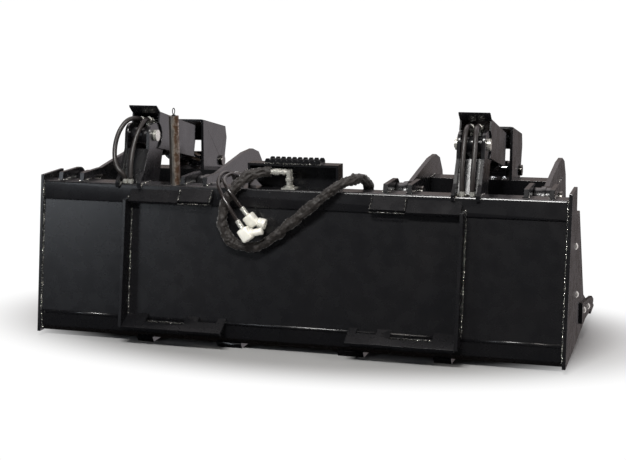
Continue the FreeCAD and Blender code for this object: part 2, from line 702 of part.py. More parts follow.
# port offset, then points: x from the middle of the jaw, y and z from the rear bottom corner
LOOPS = {
    -1: ((-14, (-39, 168, 741), (-59, 140, 704), (-69, 122, 656), (-64, 104, 608), (-45, 86, 576),
          (-24, 88, 560), (-22, 97, 542)),
         (14, (9, 170, 716), (-1, 143, 674), (-5, 122, 630), (-4, 104, 585), (-2, 97, 542))),
    1: ((-14, (-17, 164, 738), (-18, 134, 692), (-18, 114, 640), (-18, 100, 590), (-17, 97, 542)),
        (14, (16, 162, 734), (18, 132, 686), (18, 112, 635), (17, 99, 588), (17, 97, 542)))}
bulkheads = []
for sign, hand in SIDES:
    loops = []
    for number, (offset, *rest) in enumerate(LOOPS[sign]):
        mouth = [on_cylinder(sign).multVec(V(PORT_S - out, -offset, PORT_P)) for out in (MOUTH_GAP, 50)]
        route = mouth + corner_points([(sign * float(jaw_x) + x, y, z) for x, y, z in rest])
        loops.append(hose(f"cylinder hose {hand} {number}", route, hose_r))
        foot = route[-1]
        bulkheads.append(disc((foot.x, foot.y), hose_r + 1.5, beam_top, beam_top + BULKHEAD_T, view="top"))
    keep_shape(Part.makeCompound(loops), f"cylinder_hoses_{hand}")
group(bulkheads, "bulkhead_fittings")

SLEEVE = ((-75, 100, 585), (-118, 92, 583), (-162, 66, 566), (-202, 46, 522), (-229, 38, 462), (-233, 32, 402),
          (-205, 28, 354), (-150, 28, 333), (-85, 28, 345), (-12, 34, 404), (60, 40, 464), (128, 44, 522),
          (190, 70, 567), (230, 140, 570), (241, 196, 528), (222, 210, 464), (160, 210, 416), (60, 206, 393),
          (-50, 206, 393), (-150, 206, 420), (-208, 204, 474), (-224, 184, 530), (-219, 154, 562))
LEAD_A = ((-226, 156, 560), (-233, 116, 578), (-247, 82, 574), (-249, 52, 554), (-236, 24, 532),
          (-214, 6, 506), (-190, -4, 473), (-162, -8, 433))
LEAD_B = ((-211, 154, 560), (-216, 114, 572), (-231, 82, 567), (-231, 56, 556), (-213, 32, 539), (-186, 22, 508),
          (-158, 26, 471))
keep_shape(hose("hose bundle", corner_points(SLEEVE), bundle_r), "hose_bundle")
keep_shape(hose("hose lead a", corner_points(LEAD_A), lead_r), "hose_lead_a")
keep_shape(hose("hose lead b", corner_points(LEAD_B), lead_r), "hose_lead_b")


def aimed(body, start, direction):
    body.Placement = FreeCAD.Placement(start, FreeCAD.Rotation(V(1, 0, 0), direction))
    return body


FERRULE_LEN, BLOCK = 32, 32
ferrules, blocks, tips = [], [], []
for lead, way, profile in (
        (LEAD_A, V(0.966, 0, 0.26), [(0, 0), (0, 13), (14, 13), (14, 9), (46, 9), (48, 7), (48, 0)]),
        (LEAD_B, V(0.98, 0, -0.2), [(0, 0), (0, 15), (12, 15), (14, 18), (36, 18), (38, 16), (38, 10), (20, 10),
                                    (20, 0)])):
    before, end = corner_points(lead[-2:])
    along = end - before
    along.normalize()
    ferrules.append(aimed(disc((0, 0), 9, 0, FERRULE_LEN), end, along))
    block = plate("side", [(-15, -15), (15, -15), (15, 15), (-15, 15)], 0, BLOCK + 6)
    blocks.append(aimed(block, end + along * FERRULE_LEN, along))
    tip = new_body()
    turned(tip, profile)
    tips.append(aimed(tip, end + along * (FERRULE_LEN + BLOCK / 2 + 4) + way * 12, way))
group(ferrules, "hose_ferrules")
group(blocks, "coupler_elbows")
group(tips, "couplers")

# ---- checks and files ---------------------------------------------------------------------------

doc.recompute()
failed = [obj.Label for obj in doc.Objects if "Invalid" in obj.State or "Error" in obj.State]
if failed:
    raise RuntimeError(f"failed objects: {failed}")
for obj in parts:
    if obj.Shape.isNull() or not obj.Shape.isValid():
        raise RuntimeError(f"bad shape: {obj.Label}")
os.makedirs("parts", exist_ok=True)
for obj in parts:
    obj.Shape.exportStep(f"parts/{obj.Label}.step")
print(len(parts), "sub-parts written")
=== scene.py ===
import json
import math

import bmesh
import bpy
from bpy.props import FloatProperty, FloatVectorProperty, PointerProperty
from mathutils import Matrix, Vector, noise


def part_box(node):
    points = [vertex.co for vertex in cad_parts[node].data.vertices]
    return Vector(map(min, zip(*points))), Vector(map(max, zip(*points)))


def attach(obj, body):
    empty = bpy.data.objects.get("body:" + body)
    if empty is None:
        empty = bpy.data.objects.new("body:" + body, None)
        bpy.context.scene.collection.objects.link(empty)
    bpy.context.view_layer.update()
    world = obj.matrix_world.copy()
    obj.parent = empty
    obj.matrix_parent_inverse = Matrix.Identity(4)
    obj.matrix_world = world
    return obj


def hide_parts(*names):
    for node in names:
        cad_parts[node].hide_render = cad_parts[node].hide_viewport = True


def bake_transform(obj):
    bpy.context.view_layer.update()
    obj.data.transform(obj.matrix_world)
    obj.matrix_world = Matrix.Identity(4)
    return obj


bl_info = {
    "name": "Skid steer grapple bucket",
    "version": (1, 0, 0),
    "blender": (4, 5, 0),
    "location": "View3D > Sidebar > Grapple bucket",
    "description": "Paint, welds, hoses and fittings of a skid steer grapple bucket",
    "category": "Object",
}

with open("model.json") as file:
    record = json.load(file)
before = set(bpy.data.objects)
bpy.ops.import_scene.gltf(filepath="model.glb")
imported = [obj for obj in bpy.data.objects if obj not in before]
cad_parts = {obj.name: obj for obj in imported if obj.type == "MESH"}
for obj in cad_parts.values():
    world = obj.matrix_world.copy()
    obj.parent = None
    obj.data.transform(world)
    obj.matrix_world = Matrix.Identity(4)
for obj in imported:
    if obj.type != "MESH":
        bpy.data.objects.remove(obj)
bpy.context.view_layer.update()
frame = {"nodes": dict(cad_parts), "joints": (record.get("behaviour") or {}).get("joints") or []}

MM = 0.001
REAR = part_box("end_plate_left")[0].y        # rear bottom corner of the bucket
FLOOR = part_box("end_plate_left")[0].z
INNER_X = -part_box("back_sheet")[0].x        # inner face of an end plate
JOINTS = {joint["name"]: joint for joint in frame["joints"]}
SIDES = ((-1, "left"), (1, "right"))


def at(x, y, z):
    """A point given in millimetres: x from the middle, y and z from the rear bottom corner."""
    return Vector((x * MM, REAR + y * MM, FLOOR + z * MM))


# ---- sizes and colours a user would change --------------------------------------------------------


def linear(code):
    """Linear RGBA of an sRGB hex colour."""
    channels = [int(code[i:i + 2], 16) / 255 for i in (1, 3, 5)]
    return tuple(c / 12.92 if c <= 0.04045 else ((c + 0.055) / 1.055) ** 2.4 for c in channels) + (1.0,)


def colour(name, about, code):
    return FloatVectorProperty(name=name, description=about, default=linear(code), size=4, subtype="COLOR",
                               min=0, max=1)


class BucketPaint(bpy.types.PropertyGroup):
    coat: colour("Powder coat", "Black powder coat on the steelwork", "#111113")
    coat_dust: colour("Dusty coat", "The coat where a little dust lies", "#1E1C1C")
    zinc: colour("Zinc", "Bright zinc on nuts and fittings", "#DCDBD3")
    zinc_dull: colour("Dull zinc", "Zinc in its duller patches", "#C4C3BC")
    coupler: colour("Coupler", "Satin nickel on the two couplers", "#E9E6DA")
    tube: colour("Bare tube", "Drawn steel of the stow post", "#B8B0A6")
    rust: colour("Rust", "Light rust on bare steel", "#4A3526")
    rubber: colour("Hose rubber", "Hose covers", "#191717")
    sleeve: colour("Sleeve", "Woven nylon sleeve, top of the weave", "#28221F")
    # painted shade: the sleeve's colour between its threads
    sleeve_shade: colour("Sleeve, deep", "Woven nylon sleeve, between the threads", "#16120F")
    pin_dark: colour("Pin, oiled", "Pin steel under its oil film", "#3A3938")
    pin_light: colour("Pin, dry", "Pin steel where the oil has run off", "#6B6864")
    chrome: colour("Chrome", "Hard chrome of the piston rods", "#C9CBD0")
    iron_dark: colour("Iron, grain", "Machined iron in the grain", "#2B2B2C")
    iron_light: colour("Iron, face", "Machined iron on its face", "#4C4B4A")
    rubber_bloom: colour("Hose bloom", "Hose covers where they have bloomed", "#2A2523")
    plastic: colour("Plug plastic", "Moulded plug of the stow post", "#161616")
    # painted shade: the floor's grey near the object
    floor: colour("Studio floor", "Floor of the studio", "#A2A2A2")


class BucketSizes(bpy.types.PropertyGroup):
    edge_round: FloatProperty(
        name="Edge rounding", description="Radius on the edges of cut plate", default=1.2 * MM,
        min=0.2 * MM, max=3 * MM, unit="LENGTH", precision=4)
    tube_round: FloatProperty(
        name="Tube corner", description="Outside corner radius of the square tubes", default=7 * MM,
        min=2 * MM, max=12 * MM, unit="LENGTH", precision=4)
    bead: FloatProperty(
        name="Weld bead", description="Radius of a weld bead", default=4.2 * MM,
        min=2 * MM, max=8 * MM, unit="LENGTH", precision=4)
    ripple: FloatProperty(
        name="Weld ripple", description="Distance from one ripple of a weld to the next", default=4.4 * MM,
        min=2 * MM, max=8 * MM, unit="LENGTH", precision=4)
    hose: FloatProperty(
        name="Cylinder hose", description="Diameter of a cylinder hose", default=16 * MM,
        min=8 * MM, max=24 * MM, unit="LENGTH", precision=4)
    lead: FloatProperty(
        name="Coupler hose", description="Diameter of a bare hose at its coupler", default=13 * MM,
        min=8 * MM, max=20 * MM, unit="LENGTH", precision=4)
    sleeve: FloatProperty(
        name="Hose sleeve", description="Diameter over the sleeved pair of hoses", default=38 * MM,
        min=24 * MM, max=50 * MM, unit="LENGTH", precision=4)


def paint(name):
    return tuple(getattr(bpy.context.scene.bucket_paint, name))


def sizes():
    return bpy.context.scene.bucket_sizes


# ---- materials ------------------------------------------------------------------------------------


def add(tree, kind, inputs=(), **settings):
    """Add a node with its settings; an input is a value, or (node, output) for a link."""
    made = tree.nodes.new(kind)
    for key, value in settings.items():
        setattr(made, key, value)
    for socket, value in dict(inputs).items():
        if isinstance(value, tuple) and isinstance(value[0], bpy.types.Node):
            tree.links.new(value[0].outputs[value[1]], made.inputs[socket])
        else:
            made.inputs[socket].default_value = value
    return made


def start_material(name):
    """A new material with its Principled shader and a node that gives Object coordinates."""
    material = bpy.data.materials.new(name)
    material.use_nodes = True
    tree = material.node_tree
    tree.nodes.clear()
    shader = add(tree, "ShaderNodeBsdfPrincipled")
    out = add(tree, "ShaderNodeOutputMaterial")
    tree.links.new(shader.outputs["BSDF"], out.inputs["Surface"])
    place = add(tree, "ShaderNodeTexCoord")
    return material, tree, shader, place


FIRST_COLOUR, SECOND_COLOUR = 6, 7      # the colour inputs of a Mix node
WAVES = 20                              # radians of a Wave texture in one unit at a scale of 1


def per_metre(millimetres):
    """Noise scale whose features are about that many millimetres across."""
    return 1 / (millimetres * MM)


def speckle(tree, place, millimetres, detail, **more):
    """Noise over the object whose features are about that many millimetres across."""
    inputs = {"Vector": (place, "Object"), "Scale": per_metre(millimetres), "Detail": detail}
    return add(tree, "ShaderNodeTexNoise", inputs | more)


def blend_colours(tree, factor, first, second):
    """Two colours mixed by a (node, output) factor."""
    return add(tree, "ShaderNodeMix", {"Factor": factor, FIRST_COLOUR: first, SECOND_COLOUR: second},
               data_type="RGBA")


def join(tree, shader, **sources):
    """Link (node, output) sources to the shader's inputs; an underscore in a name is a space."""
    for socket, (source, output) in sources.items():
        tree.links.new(source.outputs[output], shader.inputs[socket.replace("_", " ")])


def powder_coat():
    # Black polyester powder coat on hot rolled steel: deep black, semi-gloss, with the faint orange
    # peel of a baked coat. The peel is 2 mm on the real thing and drawn at 7 mm so that it shows.
    material, tree, shader, place = start_material("powder_coat_black")
    broad = speckle(tree, place, 260, 5.0, Roughness=0.6)
    dusty = add(tree, "ShaderNodeMapRange", {"Value": (broad, "Fac"), "From Min": 0.48, "From Max": 0.8,
                                             "To Max": 0.3})
    tone = blend_colours(tree, (dusty, "Result"), paint("coat"), paint("coat_dust"))
    fine = speckle(tree, place, 45, 4.0)
    gloss = add(tree, "ShaderNodeMapRange", {"Value": (fine, "Fac"), "From Min": 0.3, "From Max": 0.7,
                                             "To Min": 0.24, "To Max": 0.3})
    peel = speckle(tree, place, 7, 2.0)
    bump = add(tree, "ShaderNodeBump", {"Height": (peel, "Fac"), "Strength": 0.12, "Distance": 0.4 * MM})
    shader.inputs["IOR"].default_value = 1.52
    join(tree, shader, Base_Color=(tone, "Result"), Roughness=(gloss, "Result"), Normal=(bump, "Normal"))
    return material


def weld_paint():
    # The coat over a weld lies thin on the ripples and shines, and bare grey flecks show through it.
    # A fleck is under 2 mm on the real thing and drawn at 5 mm so that it shows.
    material, tree, shader, place = start_material("powder_coat_over_weld")
    fleck = speckle(tree, place, 5, 1.0)
    bare = add(tree, "ShaderNodeMapRange", {"Value": (fleck, "Fac"), "From Min": 0.54, "From Max": 0.6})
    tone = blend_colours(tree, (bare, "Result"), paint("coat"), paint("zinc"))
    gloss = add(tree, "ShaderNodeMapRange", {"Value": (fleck, "Fac"), "To Min": 0.12, "To Max": 0.34})
    join(tree, shader, Base_Color=(tone, "Result"), Metallic=(bare, "Result"), Roughness=(gloss, "Result"))
    return material


def zinc(name="bright_zinc_plate", light="zinc", dark="zinc_dull", rough=(0.18, 0.36), metal=0.7):
    # Electroplated zinc with a clear passivate: silvery, with cloudy patches and fine turning marks.
    material, tree, shader, place = start_material(name)
    cloud = speckle(tree, place, 18, 2.0)
    tone = blend_colours(tree, (cloud, "Fac"), paint(light), paint(dark))
    gloss = add(tree, "ShaderNodeMapRange", {"Value": (cloud, "Fac"), "To Min": rough[0], "To Max": rough[1]})
    marks = speckle(tree, place, 1.5, 3.0)
    bump = add(tree, "ShaderNodeBump", {"Height": (marks, "Fac"), "Strength": 0.05, "Distance": 0.1 * MM})
    shader.inputs["Metallic"].default_value = metal
    join(tree, shader, Base_Color=(tone, "Result"), Roughness=(gloss, "Result"), Normal=(bump, "Normal"))
    return material


def satin_nickel():
    # Nickel plate on the couplers, tumbled before plating: pale, warm and almost matt.
    return zinc("satin_nickel", "coupler", "zinc", (0.34, 0.5), 0.25)


def oiled_pin():
    # Turned and hardened pin steel under a film of oil: dark, with crisp highlights.
    material, tree, shader, place = start_material("oiled_pin_steel")
    turning = add(tree, "ShaderNodeTexWave", {"Vector": (place, "Object"), "Scale": per_metre(4),
                                              "Distortion": 0.6, "Detail": 2.0}, bands_direction="X")
    gloss = add(tree, "ShaderNodeMapRange", {"Value": (turning, "Fac"), "To Min": 0.16, "To Max": 0.3})
    stain = speckle(tree, place, 14, 5.0)
    tone = blend_colours(tree, (stain, "Fac"), paint("pin_dark"), paint("pin_light"))
    shader.inputs["Metallic"].default_value = 1.0
    join(tree, shader, Base_Color=(tone, "Result"), Roughness=(gloss, "Result"))
    return material


def rusted_tube():
    # Bare drawn tube kept outdoors: grey steel with long drawing marks and a brown bloom of rust.
    material, tree, shader, place = start_material("drawn_tube_with_rust")
    drawn = add(tree, "ShaderNodeMapping", {"Vector": (place, "Object"), "Scale": (1.0, 1.0, 0.06)})
    streak = add(tree, "ShaderNodeTexNoise", {"Vector": (drawn, "Vector"), "Scale": per_metre(3),
                                              "Detail": 4.0})
    bloom = speckle(tree, place, 16, 8.0, Roughness=0.7)
    parts = add(tree, "ShaderNodeSeparateXYZ", {"Vector": (place, "Object")})
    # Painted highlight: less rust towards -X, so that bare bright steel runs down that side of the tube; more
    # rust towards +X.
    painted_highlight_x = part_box("stow_post")[0].x + 17 * MM
    painted_highlight_side = add(tree, "ShaderNodeMapRange", {"Value": (parts, "X"), "From Min": painted_highlight_x - 8 * MM,
                                           "From Max": painted_highlight_x + 10 * MM, "To Min": -0.25, "To Max": 0.12})
    run = add(tree, "ShaderNodeMath", {0: (bloom, "Fac"), 1: (painted_highlight_side, "Result")}, operation="ADD")
    rust_and_painted_highlight = add(tree, "ShaderNodeMapRange", {"Value": (run, "Value"), "From Min": 0.42, "From Max": 0.62})
    tone = blend_colours(tree, (rust_and_painted_highlight, "Result"), paint("tube"), paint("rust"))
    metal = add(tree, "ShaderNodeMapRange", {"Value": (rust_and_painted_highlight, "Result"), "To Min": 1.0, "To Max": 0.35})
    gloss = add(tree, "ShaderNodeMapRange", {"Value": (streak, "Fac"), "To Min": 0.18, "To Max": 0.5})
    bump = add(tree, "ShaderNodeBump", {"Height": (bloom, "Fac"), "Strength": 0.4, "Distance": 0.5 * MM})
    join(tree, shader, Base_Color=(tone, "Result"), Metallic=(metal, "Result"), Roughness=(gloss, "Result"),
         Normal=(bump, "Normal"))
    return material


def chrome():
    # Hard chrome on a ground rod: a clean mirror with a trace of grinding round it.
    material, tree, shader, place = start_material("ground_hard_chrome")
    grind = speckle(tree, place, 6, 3.0)
    gloss = add(tree, "ShaderNodeMapRange", {"Value": (grind, "Fac"), "To Min": 0.05, "To Max": 0.14})
    shader.inputs["Metallic"].default_value = 1.0
    shader.inputs["Base Color"].default_value = paint("chrome")
    join(tree, shader, Roughness=(gloss, "Result"))
    return material


def cast_iron():
    # Machined cast iron: dark grey, dull, with fine open grain.
    material, tree, shader, place = start_material("machined_cast_iron")
    grain = speckle(tree, place, 1.2, 3.0)
    tone = blend_colours(tree, (grain, "Fac"), paint("iron_dark"), paint("iron_light"))
    bump = add(tree, "ShaderNodeBump", {"Height": (grain, "Fac"), "Strength": 0.3, "Distance": 0.2 * MM})
    shader.inputs["Metallic"].default_value = 0.9
    shader.inputs["Roughness"].default_value = 0.45
    join(tree, shader, Base_Color=(tone, "Result"), Normal=(bump, "Normal"))
    return material


def hose_rubber(name="extruded_hose_rubber", rough=(0.34, 0.5)):
    # Extruded nitrile cover: black-brown, with the fine print of its wrapping cloth and a little bloom.
    material, tree, shader, place = start_material(name)
    bloom = speckle(tree, place, 30, 4.0)
    tone = blend_colours(tree, (bloom, "Fac"), paint("rubber"), paint("rubber_bloom"))
    cloth = speckle(tree, place, 2, 2.0)
    gloss = add(tree, "ShaderNodeMapRange", {"Value": (cloth, "Fac"), "To Min": rough[0], "To Max": rough[1]})
    bump = add(tree, "ShaderNodeBump", {"Height": (cloth, "Fac"), "Strength": 0.2, "Distance": 0.2 * MM})
    join(tree, shader, Base_Color=(tone, "Result"), Roughness=(gloss, "Result"), Normal=(bump, "Normal"))
    return material


def nylon_sleeve():
    # Woven nylon abrasion sleeve: matt brown-black cloth with a slight sheen where the folds turn.
    # The threads are 0.9 mm apart on the real one and drawn at 4.7 mm so that they show.
    material, tree, shader, place = start_material("woven_nylon_sleeve")
    thread = 4.7
    warp, weft = (add(tree, "ShaderNodeTexWave", {"Vector": (place, "UV"), "Distortion": 0.4,
                                                  "Scale": math.tau / WAVES / thread}, bands_direction=way)
                  for way in "XY")
    weave = add(tree, "ShaderNodeMath", {0: (warp, "Fac"), 1: (weft, "Fac")}, operation="MAXIMUM")
    wear = speckle(tree, place, 22, 5.0)
    mixed = add(tree, "ShaderNodeMath", {0: (weave, "Value"), 1: (wear, "Fac")}, operation="MULTIPLY")
    # Painted shade: the colour darkens between the threads of the weave, and at random where the wear noise
    # is low.
    tone = blend_colours(tree, (mixed, "Value"), paint("sleeve_shade"), paint("sleeve"))
    bump = add(tree, "ShaderNodeBump", {"Height": (weave, "Value"), "Strength": 0.5, "Distance": 0.5 * MM})
    shader.inputs["Roughness"].default_value = 0.62
    shader.inputs["Sheen Weight"].default_value = 0.25
    shader.inputs["Sheen Roughness"].default_value = 0.4
    join(tree, shader, Base_Color=(tone, "Result"), Normal=(bump, "Normal"))
    return material


def moulded_plastic():
    # Injection moulded polyethylene plug: black, satin, with a spark-eroded mould texture.
    material, tree, shader, place = start_material("moulded_polyethylene")
    grain = speckle(tree, place, 1, 2.0)
    bump = add(tree, "ShaderNodeBump", {"Height": (grain, "Fac"), "Strength": 0.2, "Distance": 0.2 * MM})
    shader.inputs["Base Color"].default_value = paint("plastic")
    gloss = add(tree, "ShaderNodeMapRange", {"Value": (grain, "Fac"), "To Min": 0.4, "To Max": 0.5})
    join(tree, shader, Roughness=(gloss, "Result"), Normal=(bump, "Normal"))
    return material


def glossy_rubber():
    # The bare hoses at the couplers have a smooth, wiped cover that mirrors the lamps in long lines.
    return hose_rubber("wiped_hose_rubber", (0.16, 0.24))


MAKERS = {"coat": powder_coat, "weld": weld_paint, "zinc": zinc, "nickel": satin_nickel, "pin": oiled_pin,
          "tube": rusted_tube, "chrome": chrome, "iron": cast_iron, "rubber": hose_rubber,
          "glossy_rubber": glossy_rubber, "sleeve": nylon_sleeve, "plastic": moulded_plastic}
made_materials = {}


def material(name):
    if name not in made_materials:
        made_materials[name] = MAKERS[name]()
    return made_materials[name]


# ---- pieces ---------------------------------------------------------------------------------------

TOUCH = 0.001 * MM              # vertices this close are one
NUT_CHAMFER = 0.9 * MM


def piece_from(bm, name, finish, body, smooth=True, replaces=()):
    """Turn a bmesh into a piece of the object, riding on a body."""
    mesh = bpy.data.meshes.new(name)
    bm.to_mesh(mesh)
    bm.free()
    for polygon in mesh.polygons:
        polygon.use_smooth = smooth
    piece = bpy.data.objects.new(name, mesh)
    bpy.context.scene.collection.objects.link(piece)
    return finish_piece(piece, finish, body, replaces)


def finish_piece(piece, finish, body, replaces=()):
    piece.data.materials.append(material(finish))
    if body:
        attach(piece, body)
    if replaces:
        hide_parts(*replaces)
    return piece


def facing(start, along, up=Vector((0, 0, 1))):
    """A matrix that puts local Z along a direction at a point."""
    z = Vector(along).normalized()
    x = Vector(up).cross(z)
    if x.length < 1e-6:
        x = Vector((1, 0, 0))
    x.normalize()
    y = z.cross(x)
    rotation = Matrix((x, y, z)).transposed().to_4x4()
    return Matrix.Translation(start) @ rotation


def pour(source, target):
    """Add a finished bmesh to another one."""
    mesh = bpy.data.meshes.new("poured")
    source.to_mesh(mesh)
    source.free()
    target.from_mesh(mesh)
    bpy.data.meshes.remove(mesh)


def lathe(bm, profile, place, steps=32):
    """Spin a profile of (radius, along) points, in millimetres, round the local Z of a matrix."""
    turned = bmesh.new()
    verts = [turned.verts.new((radius * MM, 0, along * MM)) for radius, along in profile]
    edges = [turned.edges.new(pair) for pair in zip(verts, verts[1:])]
    bmesh.ops.spin(turned, geom=verts + edges, axis=(0, 0, 1), cent=(0, 0, 0), angle=math.tau, steps=steps,
                   use_merge=True)
    bmesh.ops.remove_doubles(turned, verts=turned.verts, dist=TOUCH)
    bmesh.ops.recalc_face_normals(turned, faces=turned.faces)
    turned.transform(place)
    pour(turned, bm)


def hex_nut(bm, place, across, height):
    """A hexagon nut with chamfered corners, standing on the local XY plane; sizes in millimetres."""
    nut = bmesh.new()
    corner = across * MM / math.sqrt(3)
    bmesh.ops.create_cone(nut, cap_ends=True, segments=6, radius1=corner, radius2=corner, depth=height * MM)
    bmesh.ops.translate(nut, vec=(0, 0, height * MM / 2), verts=nut.verts)
    bmesh.ops.bevel(nut, geom=nut.edges[:], offset=NUT_CHAMFER, segments=2, profile=0.5, affect="EDGES",
                    material=-1)
    nut.transform(place)
    pour(nut, bm)


def nurbs_line(name, points):
    """A NURBS curve object with the points as its control points."""
    curve = bpy.data.curves.new(name, "CURVE")
    curve.dimensions = "3D"
    curve.resolution_u = 12
    spline = curve.splines.new("NURBS")
    spline.points.add(len(points) - 1)
    for target, point in zip(spline.points, points):
        target.co = (*point, 1.0)
    spline.order_u = 3
    spline.use_endpoint_u = True
    line = bpy.data.objects.new(name, curve)
    bpy.context.scene.collection.objects.link(line)
    return line


def line_points(line):
    """Points along a curve with no bevel."""
    bpy.context.view_layer.update()
    mesh = bpy.data.meshes.new_from_object(line)
    points = [v.co.copy() for v in mesh.vertices]
    bpy.data.meshes.remove(mesh)
    return points


def line_length(points):
    return sum((b - a).length for a, b in zip(points, points[1:]))


def even_points(points, gap):
    """The same line in steps of about gap."""
    total = line_length(points)
    count = max(2, round(total / gap))
    step = total / count
    spaced, travelled = [points[0]], 0.0
    for a, b in zip(points, points[1:]):
        run = (b - a).length
        while len(spaced) < count and travelled + run >= len(spaced) * step:
            spaced.append(a.lerp(b, (len(spaced) * step - travelled) / run))
        travelled += run
    return spaced + [points[-1]]


WEAVE_ROUND = 60                # UV units once round a tube


def tube_along(bm, points, shape, sides):
    """Skin rings round a line. shape(index, angle) gives the radius; UVs are millimetres along and round."""
    uv = bm.loops.layers.uv.verify()
    rings = []
    across = None
    for i, point in enumerate(points):
        ahead = (points[min(i + 1, len(points) - 1)] - points[max(i - 1, 0)]).normalized()
        across = across or ahead.orthogonal()
        across = (across - ahead * across.dot(ahead)).normalized()
        turn = Matrix((across, ahead.cross(across), ahead)).transposed().to_4x4()
        ring = bmesh.ops.create_circle(bm, segments=sides, radius=1.0)["verts"]
        for v in ring:
            v.co = point + (turn @ v.co) * shape(i, math.atan2(v.co.y, v.co.x))
        rings.append(ring)
    loops = [list({e for v in ring for e in v.link_edges}) for ring in rings]
    for first, second in zip(loops, loops[1:]):
        bmesh.ops.bridge_loops(bm, edges=first + second)
    for loop in (loops[0], loops[-1]):
        bmesh.ops.contextual_create(bm, geom=loop)
    number = {v: (i, k) for i, ring in enumerate(rings) for k, v in enumerate(ring)}
    along = [line_length(points[:i + 1]) for i in range(len(points))]
    for face in bm.faces:
        places = [number[v][1] for v in face.verts]
        wraps = max(places) - min(places) > sides / 2
        for loop in face.loops:
            i, k = number[loop.vert]
            if wraps and k < sides / 2:
                k += sides
            loop[uv].uv = (along[i] / MM, k / sides * WEAVE_ROUND)
    bmesh.ops.recalc_face_normals(bm, faces=bm.faces)


# ---- cords ----------------------------------------------------------------------------------------

SLEEVE = ((-75, 100, 585), (-118, 92, 583), (-162, 66, 566), (-202, 46, 522), (-229, 38, 462),
          (-233, 32, 402), (-205, 28, 354), (-150, 28, 333), (-85, 28, 345), (-12, 34, 404), (60, 40, 464),
          (128, 44, 522), (190, 70, 567), (230, 140, 570), (241, 196, 528), (222, 210, 464), (160, 210, 416),
          (60, 206, 393), (-50, 206, 393), (-150, 206, 420), (-208, 204, 474), (-224, 184, 530),
          (-219, 154, 562))
LEAD_A = ((-226, 156, 560), (-233, 116, 578), (-247, 82, 574), (-249, 52, 554), (-236, 24, 532),
          (-214, 6, 506), (-190, -4, 473), (-162, -8, 433))
LEAD_B = ((-211, 154, 560), (-216, 114, 572), (-231, 82, 567), (-231, 56, 556), (-213, 32, 539),
          (-186, 22, 508), (-158, 26, 471))
SLEEVE_STEP = 3.5 * MM          # from one ring of the sleeve's skin to the next
HOSE_STEP = 5 * MM


class BUCKET_OT_sleeve(bpy.types.Operator):
    """Skin the sleeved pair of hoses along its route, with the sleeve's bunched folds"""
    bl_idname = "bucket.sleeve"
    bl_label = "Hose sleeve"
    bl_options = {"REGISTER", "UNDO"}

    def execute(self, context):
        line = nurbs_line("sleeve_line", [at(*p) for p in SLEEVE])
        points = even_points(line_points(line), SLEEVE_STEP)
        bpy.data.objects.remove(line)
        radius = sizes().sleeve / 2

        def folded(i, angle):
            along = i * SLEEVE_STEP
            twist = angle + along * 11
            ring = Vector((math.cos(twist), math.sin(twist), 0))
            bunch = noise.noise(ring * 0.7 + Vector((0, 0, along * 30)))
            fold = abs(noise.noise(ring * 1.5 + Vector((5, 0, along * 52))))
            crease = abs(noise.noise(ring * 3.2 + Vector((0, 7, along * 110))))
            return radius * (1.04 + 0.05 * math.cos(2 * twist) + 0.3 * bunch - 0.6 * fold - 0.4 * crease)

        bm = bmesh.new()
        tube_along(bm, points, folded, 28)
        piece = piece_from(bm, "hose_sleeve", "sleeve", "root", replaces=["hose_bundle"])
        return {"FINISHED"}


FERRULE, BLOCK, BLOCK_WIDE, BLOCK_ROUND = 32, 46, 38, 7    # lengths along the hose, width, edge radius
TIP_AHEAD, TIP_ASIDE = 24, 12           # the coupler's foot, from the block's rear face and its middle
CRIMP = [(0, 0), (7.4, 0), (8.4, 0.8)]
for ring in range(2, 27, 5):
    CRIMP += [(9, ring), (9, ring + 3), (8.2, ring + 3.6), (8.2, ring + 4.4)]
CRIMP += [(9, FERRULE - 4), (9, FERRULE - 1), (8.4, FERRULE), (0, FERRULE)]
RIDGED = [(0, 0), (14, 0), (16, 2), (16, 12), (14.6, 14), (11, 14.4), (11, 18)]
for ridge in range(19, 43, 4):
    RIDGED += [(12.4, ridge), (11, ridge + 1.6), (11, ridge + 2.4), (12.4, ridge + 4)]
RIDGED += [(12.4, 45), (10, 47.6), (0, 47.6)]
SOCKET = [(0, 0), (13.6, 0), (15, 1.4), (15, 11), (17, 12.4), (17.8, 13.6), (17.8, 18), (16.6, 19.5),
          (16.6, 21), (17.8, 22.5), (17.8, 35), (16.4, 37.6), (11, 37.6), (10.2, 36.6), (10.2, 20.4),
          (0, 20.4)]
LEADS = {"a": (LEAD_A, (0.966, 0, 0.26), RIDGED), "b": (LEAD_B, (0.98, 0, -0.2), SOCKET)}


class BUCKET_OT_coupler_hoses(bpy.types.Operator):
    """Run the two bare hoses from the sleeve to their couplers"""
    bl_idname = "bucket.coupler_hoses"
    bl_label = "Coupler hoses"
    bl_options = {"REGISTER", "UNDO"}

    def execute(self, context):
        for name, (route, _, _) in LEADS.items():
            line = nurbs_line(f"coupler_hose_{name}", [at(*p) for p in route])
            length = line_length(line_points(line))
            line.data.bevel_depth = sizes().lead / 2
            line.data.bevel_resolution = 5
            line.data.use_fill_caps = True
            finish_piece(line, "glossy_rubber", "root", [f"hose_lead_{name}"])
        return {"FINISHED"}


